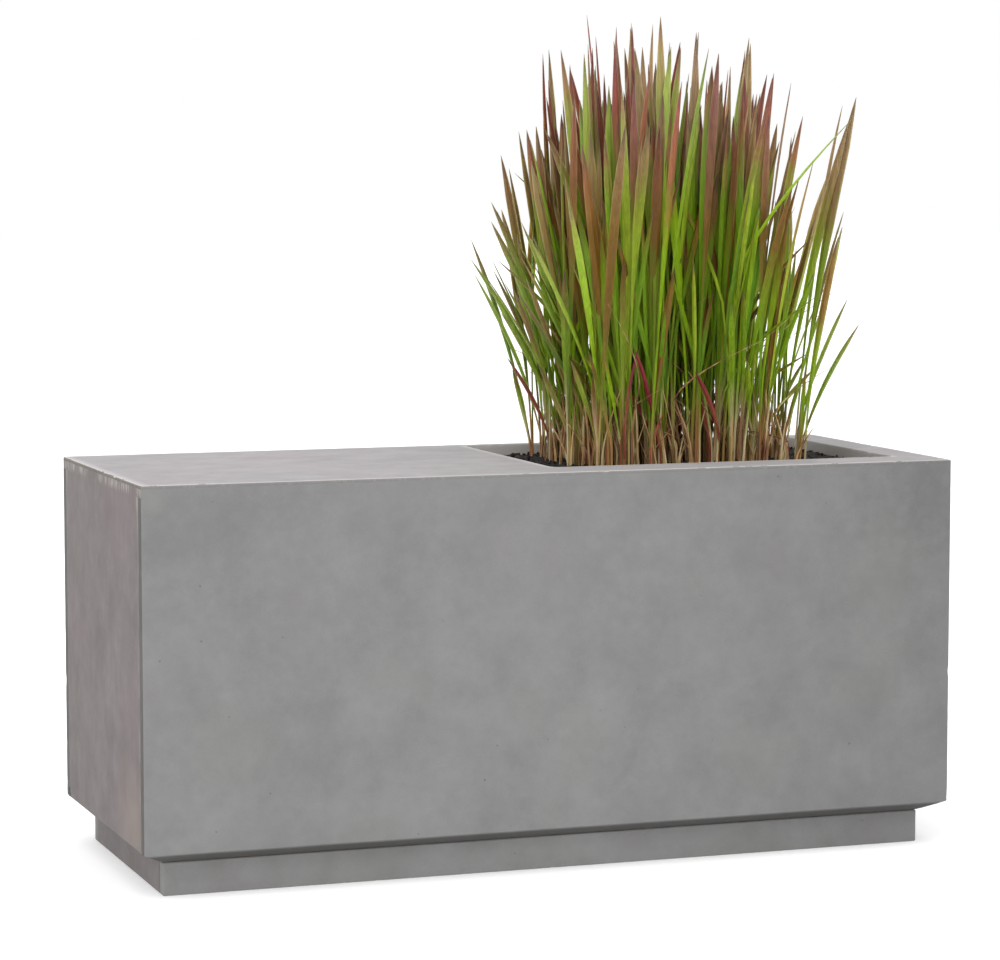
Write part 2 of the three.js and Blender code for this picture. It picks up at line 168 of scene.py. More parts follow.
def cement(
    name, dark, light, blush, moss, edge, streak=(1, 1, 1), streak_share=0.0, roughness=0.82,
    spots=(), fade=1.0, arris_line_dark=0.0, filler=0.0,
):
    """Fibre cement: two greys mixed by clouds about 60 mm across and mottling about 14 mm
    across, with a rosy and a greenish tint in patches, pinholes of trapped air up to 3 mm
    across and mostly smaller, darkened inside as painted shade, a fine sandy grain, its own
    edge colour where the edge attribute says so, and a dark one where the attribute for dark
    marks says so: dark joints, sawn edges and painted shade on the lip under the body. A spot
    is a centre, a radius, a colour and its share. Fade is what is left of the tone at the right
    end. The number after fade is how dark a thin line just under the top arris is drawn, and
    filler the share of the light smears of filler that were drawn down over it."""
    material, tree, shader, place = new_material(name)
    cloud = noise(tree, place, cloud_size, 5, 0.6)
    mottle = noise(tree, place, mottle_size, 3, 0.6)
    spread = span(tree, maths(tree, "MULTIPLY_ADD", mottle, 0.35, cloud), 0.47, 0.88)
    grey = node(
        tree, "Mix", {"data_type": "RGBA", 6: linear(dark), 7: linear(light)}, {0: spread}
    ).outputs[2]
    patch_place = node(tree, "Mapping", {"Location": (3.1, 1.7, 0.4)}, {"Vector": place})
    patch = noise(tree, patch_place.outputs[0], patch_size, 2)
    with_rose = tint(tree, grey, blush, span(tree, patch, 0.52, 0.72, 0, 0.45))
    skin_colour = tint(tree, with_rose, moss, span(tree, patch, 0.48, 0.28, 0, 0.45))
    for centre, radius, colour, share in spots:
        away = node(tree, "VectorMath", {"operation": "DISTANCE", 1: centre}, {0: place})
        ragged = maths(tree, "MULTIPLY_ADD", mottle, radius, away.outputs["Value"])
        there = span(tree, ragged, radius * 1.6, radius * 0.6, 0, share)
        skin_colour = tint(tree, skin_colour, colour, there)

    part = node(tree, "SeparateXYZ", {}, {0: place})
    height = maths(tree, "MULTIPLY_ADD", mottle, 0.003, part.outputs["Z"])
    smears = noise(tree, place, smear_width, 2, stretch=(1, 1, 0.16))
    groups = noise(tree, place, cloud_size, 1)
    band = span(tree, height, *filler_heights, 0, filler)
    light_marks = maths(tree, "MULTIPLY", span(tree, smears, 0.44, 0.6), band)
    light_share = maths(tree, "MULTIPLY", light_marks, span(tree, groups, 0.38, 0.52))
    filled = tint(tree, skin_colour, filler_grey, light_share)
    # A thin dark line just under the top arris
    far_off = maths(tree, "ABSOLUTE", maths(tree, "SUBTRACT", height, arris_line_height))
    arris_line_mask = span(tree, far_off, 0.0024, 0.001, 0, arris_line_dark)
    arris_line_share = maths(tree, "MULTIPLY", arris_line_mask, span(tree, smears, 0.3, 0.45))
    arris_lined = tint(tree, filled, joint_and_shade_dark, arris_line_share)

    streaks = noise(tree, place, streak_size, 3, stretch=streak)
    streak_tone = span(tree, streaks, 0.3, 0.7, 1 - streak_share, 1 + streak_share)
    grain = noise(tree, place, grain_size, 2)
    fine_tone = maths(tree, "MULTIPLY", streak_tone, span(tree, grain, 0.2, 0.8, 0.965, 1.035))
    faded = span(tree, part.outputs["X"], 0.05, 0.5, 1, fade)
    tone = maths(tree, "MULTIPLY", fine_tone, faded)

    cells = node(tree, "TexVoronoi", {"Scale": 1 / pinhole_spacing}, {"Vector": place})
    chance = node(tree, "SeparateColor", {}, {0: cells.outputs["Color"]}).outputs[0]
    size = span(tree, chance, 0.62, 1, 0, 0.1)
    hole = span(tree, maths(tree, "SUBTRACT", size, cells.outputs["Distance"]), 0, 0.025)
    # Pinholes are darkened inside: painted shade in the pits
    toned = maths(tree, "MULTIPLY", tone, span(tree, hole, 0, 1, 1, 0.72))

    # Edge: wear and filler, and on the top slab painted highlight and painted light. Dark marks: dark joints,
    # sawn edges and painted shade on the lip under the body.
    worn = node(tree, "Attribute", {"attribute_name": "edge"}).outputs["Fac"]
    dirt_and_shade = node(tree, "Attribute", {"attribute_name": "stain"}).outputs["Fac"]
    stained_and_shaded = tint(tree, tint(tree, arris_lined, edge, worn), joint_and_shade_dark, dirt_and_shade)
    colour = node(tree, "VectorMath", {"operation": "SCALE"}, {0: stained_and_shaded, "Scale": toned})
    tree.links.new(colour.outputs[0], shader.inputs["Base Color"])

    gloss = span(tree, spread, 0, 1, roughness + 0.08, roughness - 0.1)
    tree.links.new(gloss, shader.inputs["Roughness"])
    shader.inputs["IOR"].default_value = 1.5
    shader.inputs["Specular IOR Level"].default_value = 0.35
    skin = maths(tree, "MULTIPLY_ADD", mottle, 0.4, grain)
    relief = maths(tree, "SUBTRACT", maths(tree, "ADD", skin, light_share), hole)
    bump = node(tree, "Bump", {"Strength": 0.35, "Distance": 0.0006}, {"Height": relief})
    tree.links.new(bump.outputs[0], shader.inputs["Normal"])
    return material


def ripple(points, length, waves=24, seed=1):
    """A smooth random field: the mean of sine waves of about one length, each in its own
    direction and phase, scaled so that it runs from about -1 to 1."""
    draw = np.random.default_rng(seed)
    ways = draw.normal(size=(points.shape[-1], waves))
    ways = ways / np.linalg.norm(ways, axis=0) * draw.uniform(0.6, 1.5, waves) * math.tau / length
    phases = draw.uniform(0, math.tau, waves)
    return np.sin(points @ ways + phases).mean(axis=-1) * math.sqrt(waves) * 0.7


def stations(low, high, radius, step):
    """Places along one side of a board: close together on the arrises, where equal turns of
    15 degrees round the edge fall, and even between them."""
    turns = np.radians([45, 30, 15, 0])
    near = np.concatenate([radius * (1 - np.tan(turns)), radius + np.array([0.0015, 0.004])])
    near = near[near < (high - low) / 2]
    first = near[-1]
    count = max(1, round((high - low - 2 * first) / step))
    middle = np.linspace(low + first, high - first, count + 1)[1:-1]
    return np.concatenate([low + near, middle, (high - near)[::-1]])


def box_lattice(rows):
    """The closed surface of a box as one lattice: all triples of stations of which at least
    one is the first or last in its row, and the quads of the six sides between them."""
    shape = tuple(len(row) for row in rows)
    grid = np.stack(np.meshgrid(*rows, indexing="ij"), axis=-1)
    index = np.indices(shape)
    last = np.array(shape).reshape(3, 1, 1, 1) - 1
    outside = ((index == 0) | (index == last)).any(axis=0)
    number = np.full(shape, -1)
    number[outside] = np.arange(outside.sum())
    quads = []
    for axis in range(3):
        for end in (0, -1):
            side = np.take(number, end, axis=axis)
            quad = np.stack([side[:-1, :-1], side[1:, :-1], side[1:, 1:], side[:-1, 1:]], axis=-1)
            inward = (end == 0) != (axis == 1)
            quads.append(quad.reshape(-1, 4)[:, ::-1] if inward else quad.reshape(-1, 4))
    return grid[outside], np.concatenate(quads)


def cast_board(low, high, radius, step, worn, sharp_top=False, seed=1):
    """A board as it comes out of its tray. Each point keeps its nearest core point, the box
    drawn in by the radius, and stands off it by the radius at most, which rounds the arrises.
    Along them the radius shrinks where a ripple about 9 mm long passes its threshold: those
    are the chips. The flat faces dip by up to 0.3 mm in a ripple about 170 mm long. Gives the
    points, the quads and how worn each point is, from 0 to 1."""
    low = np.array(low)
    high = np.array(high)
    rows = [stations(low[axis], high[axis], radius, step[axis]) for axis in range(3)]
    points, quads = box_lattice(rows)
    margin = np.array([radius, 0 if sharp_top else radius, radius])
    core = np.clip(points, low + margin, high - radius)
    out = points - core
    reach = np.linalg.norm(out, axis=1, keepdims=True)
    surface = core + out * np.minimum(1, radius / np.maximum(reach, 1e-9))
    gap = np.minimum(points - low, high - points)
    if sharp_top:
        gap[:, 1] = np.where(points[:, 1] - low[1] < high[1] - points[:, 1], 0.05, gap[:, 1])
    to_edge = np.sort(gap, axis=1)[:, 1]
    near = np.clip(1 - to_edge / wear_reach, 0, 1) ** 2
    rough = ripple(points, chip_length, seed=seed)
    rough = rough + 0.6 * ripple(points, chip_group, seed=seed + 1)
    chip = np.clip(rough - 0.75, 0, 1) * near
    grind = np.clip(0.25 + 0.25 * ripple(points, grind_length, seed=seed + 2), 0, None)
    inward = -out / np.maximum(reach, 1e-9)
    surface = surface + inward * (worn * (chip * 1.6 + grind * near * 0.5))[:, None]
    fade = np.clip(to_edge / dip_margin, 0, 1)
    dip = np.clip(0.5 + 0.5 * ripple(points[:, :2], dip_length, seed=seed + 3), 0, None)
    dip = dip * fade * face_dip
    surface[:, 2] = surface[:, 2] + np.where(points[:, 2] < (low[2] + high[2]) / 2, dip, -dip)
    return surface, quads, np.clip(near * (0.35 + chip * 2), 0, 1)


def turned(points, angle, place=(0, 0, 0)):
    """Points turned about the upright axis, then moved."""
    c = math.cos(angle)
    s = math.sin(angle)
    turn = np.array([[c, -s, 0], [s, c, 0], [0, 0, 1]])
    return points @ turn.T + np.array(place)


def make_piece(name, points, faces, material, replaced, values={}, crisp=crisp_angle):
    """A mesh piece of the bench: it rides on the part's one body and stands for CAD nodes.
    Values are the numbers that its material reads, one for each point. Where two faces meet
    at more than the crisp angle, the edge between them shows."""
    mesh = bpy.data.meshes.new(name)
    mesh.from_pydata(points, [], faces)
    mesh.polygons.foreach_set("use_smooth", np.ones(len(mesh.polygons), bool))
    for key, numbers in values.items():
        mesh.attributes.new(key, "FLOAT", "POINT").data.foreach_set("value", numbers.astype(np.float32))
    mesh.set_sharp_from_angle(angle=crisp)
    mesh.materials.append(material)
    mesh.update()
    piece = bpy.data.objects.new(name, mesh)
    bpy.context.scene.collection.objects.link(piece)
    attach(piece, "root")
    if replaced:
        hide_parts(*replaced)
    return piece


# Cast fibre cement, the tray side outwards: even grey, a little darker to the right; the end
# boards come from a rosier mix, and are darker as painted shade on the ends
plinth_cement = cement(
    "cast fibre cement, plinth", "#7e7e7d", "#888888", "#847e7e", "#81817c", "#9a9894", fade=0.79,
)
plinth_end_cement = cement(
    "cast fibre cement, plinth ends", "#706a6a", "#7b7575", "#7b6c6b", "#75736d", "#8a8580"
)
board_length = bench_length - 2 * plinth_inset
board_depth = bench_depth - 2 * plinth_inset


def plinth_board(length, seed):
    """A board standing on its long edge: along runs with X, the drop down from its top, and
    the inward distance with Y."""
    points, quads, edge = cast_board(
        (-length / 2, 0, 0), (length / 2, plinth_height, board_thickness), arris,
        (board_step, board_step, board_step), board_wear, seed=seed,
    )
    upright = np.stack([points[:, 0], points[:, 2], plinth_height - points[:, 1]], axis=1)
    return upright, quads, edge


for name, length, turn, place, seed in (
    ("plinth_front", board_length, 0, (0, -board_depth / 2, 0), 11),
    ("plinth_back", board_length, math.pi, (0, board_depth / 2, 0), 21),
    ("plinth_left", board_depth - 2 * board_thickness, -math.pi / 2, (-board_length / 2, 0, 0), 31),
    ("plinth_right", board_depth - 2 * board_thickness, math.pi / 2, (board_length / 2, 0, 0), 41),
):
    points, quads, edge = plinth_board(length, seed)
    at_end = length < board_depth
    joint = np.clip(1.2 - (length / 2 - np.abs(points[:, 0])) / butt_joint, 0, 1) * at_end
    make_piece(
        name + "_board", turned(points, turn, place), quads,
        plinth_end_cement if at_end else plinth_cement,
        [name], {"edge": edge * 0.5, "stain": joint * 0.7},
    )

# Sawn and unpainted board: paler, coarser, with saw marks
raw_cement = cement(
    "raw fibre cement", "#6f6d6b", "#85827f", "#7f7672", "#7a7a70", "#8f8b86", (1, 1, 6), 0.05, 0.9
)
nodes["plinth_cross_board"].data.materials.clear()
nodes["plinth_cross_board"].data.materials.append(raw_cement)

# Body: front and back panels run the whole length and the end panels stand between them, all
# cast in one piece with the sloping lip that carries them on the plinth, darkened as painted
# shade. On each end the sawn edge of the long panels shows as a darker strip beside a thin bead
# of filler.
panel_thickness = 0.015
edge_height = 0.053
drops = (-0.01, 0.403, 0.4343, 0.4593)
outer_inward = (0.0, 0.0, plinth_inset, 0.053)
outer_height = (0.466, edge_height, plinth_height, plinth_height)
inner_inward = (panel_thickness, panel_thickness, plinth_inset, 0.053)
inner_height = (0.466, 0.068, 0.054, 0.054)
panel_drop = 0.4493
panel_steps = (0.004, 0.008, 0.0045)
panel_wear = 0.001
sawn_width = 0.0008
# How the painted shade on the lip under the body fades in, and how dark it goes
lip_shade_fade = 0.0015
lip_shade_share = 0.92


def wall_panel(half_length, between, seed):
    """A wall panel bent out of a flat board. The drop from the top runs down the wall, in
    along the slope and in under the lip, on an outer and an inner path; a point lies between
    the two by its share of the thickness, and each bend is the mean of the path 2 mm to
    either side. The ends are drawn in by the slope on a long panel, and by the mitre on
    every lip."""
    end = half_length - (panel_thickness if between else 0)
    points, quads, edge = cast_board(
        (-end, 0, 0), (end, panel_drop, panel_thickness), arris, panel_steps, panel_wear,
        sharp_top=True, seed=seed,
    )
    share = points[:, 2] / panel_thickness
    inward = np.zeros(len(points))
    height = np.zeros(len(points))
    shifts = (-0.002, -0.001, 0, 0.001, 0.002)
    for shift in shifts:
        drop = points[:, 1] + shift
        outer = np.interp(drop, drops, outer_inward) * (1 - share)
        inward += (outer + np.interp(drop, drops, inner_inward) * share) / len(shifts)
        outer = np.interp(drop, drops, outer_height) * (1 - share)
        height += (outer + np.interp(drop, drops, inner_height) * share) / len(shifts)
    if between:
        cut = np.maximum(inward, panel_thickness)
    else:
        slope = np.clip((edge_height - height) * 2, 0, None)
        cut = np.where(inward > panel_thickness + 0.0001, inward, np.minimum(slope, plinth_inset))
    along = points[:, 0] * (half_length - cut) / end
    to_end = end - np.abs(points[:, 0])
    # Painted shade: the outer face of the lip under the body is darkened
    under = np.clip((edge_height - height) / lip_shade_fade, 0, 1) * (share < 0.5) * lip_shade_share
    if between:
        reach = 0.003 + 0.004 * np.clip((height - 0.43) / 0.02, 0, 1)
        strength = np.clip(0.45 + (height - 0.4) * 8, 0.3, 1) + 0.35 * ripple(points, 0.03, seed=seed)
        bead = np.clip(1.4 - to_end / reach, 0, 1) * np.clip(strength, 0, 1) * (height > 0.1)
        values = {"edge": np.clip(edge * 0.3 + bead, 0, 1), "stain": under}
    else:
        sawn = np.clip(1 - to_end / sawn_width, 0, 1) * (0.75 + 0.2 * (share < 0.2))
        values = {"edge": edge * 0.3, "stain": np.maximum(under, sawn)}
    return np.stack([along, inward, height], axis=1), quads, values


# Cast fibre cement painted thinly in grey, tray side outwards: clouded, smooth to the hand. The
# front's left top corner was made good with a greenish filler.
wall_cement = cement(
    "cast fibre cement, long panels", "#797979", "#838383", "#807c7c", "#7c7d79", "#92908c",
    spots=[
        ((-0.43, -0.2, 0.43), 0.1, "#747474", 0.5), ((0.46, -0.2, 0.45), 0.09, "#6a6a6a", 0.45),
        ((-0.488, -0.2, 0.452), 0.016, "#878981", 0.45),
    ],
    fade=0.83, arris_line_dark=0.3,
)
# The ends come from a rosier mix and are darker as painted shade on the ends; their top joint
# was closed with filler, smeared downwards
end_cement = cement(
    "cast fibre cement, end panels", "#6c6565", "#766f6f", "#786a6c", "#716f6a", "#968d82",
    (1, 1, 0.12), 0.03,
    spots=[((-0.5, -0.15, 0.08), 0.08, "#8f8278", 0.45)], arris_line_dark=0.9, filler=0.75,
)
for name, half, between, turn, place, seed in (
    ("front_panel", bench_length / 2, False, 0, (0, -bench_depth / 2, 0), 101),
    ("back_panel", bench_length / 2, False, math.pi, (0, bench_depth / 2, 0), 111),
    ("left_end_panel", bench_depth / 2, True, -math.pi / 2, (-bench_length / 2, 0, 0), 121),
    ("right_end_panel", bench_depth / 2, True, math.pi / 2, (bench_length / 2, 0, 0), 131),
):
    points, quads, values = wall_panel(half, between, seed)
    make_piece(
        name + "_cast", turned(points, turn, place), quads, end_cement if between else wall_cement,
        [name], values,
    )

# Top slab: the seat and the rim round the trough are one 14 mm cast, floated smooth by hand
# along its length. It is paler than the walls, partly as painted light on the top, with a worn
# arris all round and filler pressed into the joint below its ends. Painted highlight makes the
# inner arrises at the seat side and the front of the trough and the outer arrises paler, and
# painted light makes the trough's inner walls paler, most of all at the back.
seat_height = 0.47
slab_thickness = 0.014
opening_low = (0.012, -0.134)
opening_high = (0.455, 0.185)
opening_radius = 0.008
body_radius = 0.0025
least_radius = 0.001
slab_chip = 0.0018
sag_length = 0.16
# Shares of the pale edge colour: painted light on the trough's inner walls, and wear with painted highlight
# on the arrises
back_wall_painted_light = 0.74
side_wall_painted_light = 0.42
seen_wear_and_highlight = 0.9
far_wear = 0.3
outer_wear_and_highlight = 0.75


def round_outline(low, high, radius, shares, corner_steps=6):
    """A rectangle with round corners, counter-clockwise from its front left corner. Each side
    is cut at the same shares, and each corner at equal turns."""
    low = np.array(low)
    high = np.array(high)
    centres = np.array([
        (low[0] + radius, low[1] + radius), (high[0] - radius, low[1] + radius),
        (high[0] - radius, high[1] - radius), (low[0] + radius, high[1] - radius),
    ])
    outline = []
    for side in range(4):
        turns = math.pi * (1 + side / 2) + np.linspace(0, math.pi / 2, corner_steps + 1)
        corner = centres[side] + radius * np.stack([np.cos(turns), np.sin(turns)], axis=1)
        outline.append(corner)
        following = centres[(side + 1) % 4] + radius * np.array([np.cos(turns[-1]), np.sin(turns[-1])])
        run = shares[side % 2][:, None]
        outline.append(corner[-1] * (1 - run) + following * run)
    return np.concatenate(outline)


def slab_surface():
    """The slab as a closed profile carried round it: from the opening's lower edge up its
    wall, over the inner arris, across the top, over the outer arris, down and back along the
    bottom. Each profile point has a share of the way from the opening to the outside, a
    draw-in from that outline and a height; a ring is the mix of the two outlines."""
    shares = (np.linspace(0, 1, 250)[1:-1], np.linspace(0, 1, 100)[1:-1])
    turns = np.radians([0, 22.5, 45, 67.5, 90])
    bottom = seat_height - slab_thickness
    shoulder = seat_height - arris
    rise = shoulder + arris * np.sin(turns)
    draw = arris * (1 - np.cos(turns))
    across = np.array([0.02, 0.05, 0.1, 0.2, 0.3, 0.4, 0.5, 0.6, 0.7, 0.8, 0.9, 0.95, 0.98])
    under = across[::-2]
    wall = np.linspace(bottom, shoulder, 5)
    profile = np.concatenate([
        np.stack([np.zeros(4), np.zeros(4), wall[:-1]], axis=1),
        np.stack([np.zeros(5), draw, rise], axis=1),
        np.stack([across, np.full(len(across), arris), np.full(len(across), seat_height)], axis=1),
        np.stack([np.ones(5), draw[::-1], rise[::-1]], axis=1),
        np.stack([np.ones(4), np.zeros(4), wall[-2::-1]], axis=1),
        np.stack([under, np.zeros(len(under)), np.full(len(under), bottom)], axis=1),
    ])
    corners = (-bench_length / 2, -bench_depth / 2), (bench_length / 2, bench_depth / 2)
    rings = []
    for share, inset, height in profile:
        inside = round_outline(
            np.subtract(opening_low, inset), np.add(opening_high, inset), opening_radius + inset, shares
        )
        outside = round_outline(
            np.add(corners[0], inset), np.subtract(corners[1], inset),
            max(body_radius - inset, least_radius), shares,
        )
        ring = inside * (1 - share) + outside * share
        rings.append(np.column_stack([ring, np.full(len(ring), height)]))
    points = np.array(rings)
    rows, count = points.shape[:2]
    row, column = np.meshgrid(np.arange(rows), np.arange(count), indexing="ij")
    next_row = (row + 1) % rows
    next_column = (column + 1) % count
    quads = np.stack([
        row * count + column, next_row * count + column,
        next_row * count + next_column, row * count + next_column,
    ], axis=-1)
    return points.reshape(-1, 3), quads.reshape(-1, 4), np.repeat(profile[:, 0], count)


points, quads, share = slab_surface()
top_gap = seat_height - points[:, 2]
outer_gap = np.minimum(
    bench_length / 2 - np.abs(points[:, 0]), bench_depth / 2 - np.abs(points[:, 1])
)
inner_gap = np.maximum.reduce([
    opening_low[0] - points[:, 0], points[:, 0] - opening_high[0],
    opening_low[1] - points[:, 1], points[:, 1] - opening_high[1],
])
to_arris = np.hypot(top_gap, np.clip(np.minimum(outer_gap, inner_gap), 0, None))
near = np.clip(1 - to_arris / wear_reach, 0, 1) ** 2
at_end = np.clip(1 - (bench_length / 2 - np.abs(points[:, 0])) / wear_reach, 0, 1)
chip = ripple(points, chip_length, seed=5) + 0.6 * ripple(points, chip_group, seed=6)
chip = chip - 0.8 + 0.35 * at_end
chip = np.clip(chip, 0, 1) * near
points[:, 2] -= chip * slab_chip
sag = np.clip(0.5 + 0.5 * ripple(points[:, :2], sag_length, seed=7), 0, None) * face_dip
points[:, 2] -= np.where(top_gap < 0.0001, sag, 0)
# Painted light on the trough's inner walls, and wear with painted highlight on the seen and outer arrises
inner_wall_painted_light = np.where(points[:, 1] > opening_high[1] - arris, back_wall_painted_light, side_wall_painted_light)
inner_wall_painted_light = inner_wall_painted_light * (top_gap > arris)
seen_arris = (points[:, 0] < opening_low[0] + arris) | (points[:, 1] < opening_low[1] + arris)
inner_wear_and_light = np.maximum(near * np.where(seen_arris, seen_wear_and_highlight, far_wear), inner_wall_painted_light)
wear_and_painted_light = np.where(inner_gap < outer_gap, inner_wear_and_light, near * outer_wear_and_highlight)
# Floated fibre cement: paler, partly as painted light on the top, closed by the trowel, with long faint
# strokes along the seat
seat_cement = cement(
    "floated fibre cement, seat", "#9a9698", "#a4a0a2", "#a59a9f", "#9d9b9a", "#e2dfdf",
    (0.05, 1, 1), 0.03, 0.72,
)
slab = make_piece(
    "top_slab_cast", points, quads, seat_cement, ["top_slab"], {"edge": wear_and_painted_light},
)
slab.data.materials.append(wall_cement)
slab.data.materials.append(end_cement)
ways = np.zeros(len(quads) * 3, np.float32)
slab.data.polygons.foreach_get("normal", ways)
ways = ways.reshape(-1, 3)
outside = share[quads[:, 0]] > 0.5
painted = np.where(np.abs(ways[:, 1]) > 0.6, 1, np.where(np.abs(ways[:, 0]) > 0.6, 2, 0)) * outside
slab.data.polygons.foreach_set("material_index", painted.astype(np.int32))

# Trough and stiffening: unpainted boards and blocks glued inside the body, out of sight once
# the trough is filled. They keep their CAD shapes and get the raw cement's finish.
for name, piece in nodes.items():
    if name.startswith(("trough_", "divider_", "seat_rib_", "corner_block_")):
        piece.data.materials.clear()
        piece.data.materials.append(raw_cement)

# Filling: 50 mm of expanded clay for drainage, poured in under the soil and out of sight. It
# keeps its CAD shape and gets a finish of burnt clay balls, a brown skin with painted shade
# darker in the gaps between them.
clay, tree, shader, place = new_material("expanded clay pebbles")
pebbles = node(tree, "TexVoronoi", {"Scale": 1 / 0.01}, {"Vector": place})
# Painted shade: the tone darkens towards the gaps between the balls
pebble_tone_and_gap_shade = ramp(
    tree, pebbles.outputs["Distance"], (0.0, "#a2704f"), (0.5, "#86563b"), (0.9, "#3f2a20"),
)
tree.links.new(pebble_tone_and_gap_shade, shader.inputs["Base Color"])
shader.inputs["Roughness"].default_value = 0.95
rounds = node(tree, "Bump", {"Strength": 1.0, "Distance": 0.004, "invert": True}, {
    "Height": pebbles.outputs["Distance"],
})
tree.links.new(rounds.outputs[0], shader.inputs["Normal"])
nodes["drainage_layer"].data.materials.clear()
nodes["drainage_layer"].data.materials.append(clay)

# Potting soil: peat and bark, pressed down to 12 mm below the rim and 2.5 mm lower along the
# walls, lumpy and nearly black.
soil_level = 0.458
soil_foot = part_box("potting_soil")[0]
soil_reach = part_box("potting_soil")[1]
soil_square = 0.003
wall_dip = 0.0025
wall_dip_reach = 0.05


def soil_dip(flat):
    """How far the bed sinks towards the trough's walls: 2.5 mm at the wall, dying out as a
    square over 50 mm."""
    to_wall = np.minimum(flat - soil_foot[:2], np.array(soil_reach[:2]) - flat).min(axis=1)
    return wall_dip * np.clip(1 - to_wall / wall_dip_reach, 0, 1) ** 2


def soil_bed():
    """The bed as a box lattice of 3 mm squares whose top rises and falls by ripples about
    60, 16 and 6 mm long."""
    rows = [
        np.arange(soil_foot[0], soil_reach[0] + 0.001, soil_square),
        np.arange(soil_foot[1], soil_reach[1] + 0.001, soil_square),
        np.array([soil_foot[2], soil_level - 0.01, soil_level]),
    ]
    rows[0][-1] = soil_reach[0]
    rows[1][-1] = soil_reach[1]
    points, quads = box_lattice(rows)
    flat = points[:, :2]
    rise = 0.0014 * ripple(flat, 0.06, seed=51) + 0.0012 * ripple(flat, 0.016, seed=52)
    rise += 0.0012 * ripple(flat, 0.006, seed=53) - soil_dip(flat)
    points[:, 2] += np.where(points[:, 2] > soil_level - 0.001, rise, 0)
    return points, quads


soil, tree, shader, place = new_material("potting soil")
lumps = noise(tree, place, 0.009, 5, 0.7)
earth = ramp(tree, lumps, (0.35, "#0e0a0a"), (0.52, "#1d1716"), (0.7, "#332a27"))
tree.links.new(earth, shader.inputs["Base Color"])
shader.inputs["Roughness"].default_value = 0.95
clods = node(tree, "Bump", {"Strength": 0.9, "Distance": 0.003}, {"Height": lumps})
tree.links.new(clods.outputs[0], shader.inputs["Normal"])
points, quads = soil_bed()
make_piece("soil_bed", points, quads, soil, ["potting_soil"])

# Crumbs: lumps of peat and shreds of bark, loose on the bed and half sunk in it, of the same
# stuff as the soil.
crumb_count = 700
crumb_margin = 0.006


def soil_crumbs():
    """Crumbs of 20 facets: a regular 12-cornered ball for each, its corners drawn out or in
    by up to 30%, stretched and flattened by chance, turned and half sunk in the soil."""
    draw = np.random.default_rng(55)
    golden = (1 + 5 ** 0.5) / 2
    ball = np.array([
        (-1, golden, 0), (1, golden, 0), (-1, -golden, 0), (1, -golden, 0),
        (0, -1, golden), (0, 1, golden), (0, -1, -golden), (0, 1, -golden),
        (golden, 0, -1), (golden, 0, 1), (-golden, 0, -1), (-golden, 0, 1),
    ]) / math.hypot(1, golden)
    facets = np.array([
        (0, 11, 5), (0, 5, 1), (0, 1, 7), (0, 7, 10), (0, 10, 11), (1, 5, 9), (5, 11, 4),
        (11, 10, 2), (10, 7, 6), (7, 1, 8), (3, 9, 4), (3, 4, 2), (3, 2, 6), (3, 6, 8),
        (3, 8, 9), (4, 9, 5), (2, 4, 11), (6, 2, 10), (8, 6, 7), (9, 8, 1),
    ])
    half = draw.uniform(0.0006, 0.0026, (crumb_count, 1, 1))
    half = half * draw.uniform(0.5, 1.6, (crumb_count, 1, 3))
    shape = ball * draw.uniform(0.7, 1.3, (crumb_count, 12, 1)) * half
    angle = draw.uniform(0, math.tau, (crumb_count, 1))
    across = shape[:, :, 0] * np.cos(angle) - shape[:, :, 1] * np.sin(angle)
    deep = shape[:, :, 0] * np.sin(angle) + shape[:, :, 1] * np.cos(angle)
    middle = np.column_stack([
        draw.uniform(soil_foot[0] + crumb_margin, soil_reach[0] - crumb_margin, crumb_count),
        draw.uniform(soil_foot[1] + crumb_margin, soil_reach[1] - crumb_margin, crumb_count),
        draw.uniform(soil_level, soil_level + 0.002, crumb_count),
    ])
    middle[:, 2] -= soil_dip(middle[:, :2])
    points = np.stack([across, deep, shape[:, :, 2]], axis=2) + middle[:, None]
    faces = facets[None] + 12 * np.arange(crumb_count)[:, None, None]
    return points.reshape(-1, 3), faces.reshape(-1, 3)


points, faces = soil_crumbs()
make_piece("soil_crumbs", points, faces, soil, [])

# Grass: blood grass, planted close in four clumps. Thin tan sheaths stand in the soil, and
# each carries a blade that leaves it at its own height, widens to 4-14 mm and runs out in a
# long point, green below and wine red towards the tip.
planted_low = (0.080, -0.060)
planted_high = (0.382, 0.125)
grass_foot = 0.454
tallest_leaf = 0.564
tip_low = (-0.044, -0.186)
tip_high = (0.478, 0.188)
clump_count = 4
clump_seed = 1280
leaf_steps = 15
section_points = 4
leaf_crisp_angle = math.radians(20)
sheath_half = 0.0015
keel_depth = 0.0006
tip_half = 0.0002
root_scatter = 0.0025
young_share = 0.16
bent_share = 0.08
bent_kink = 0.22


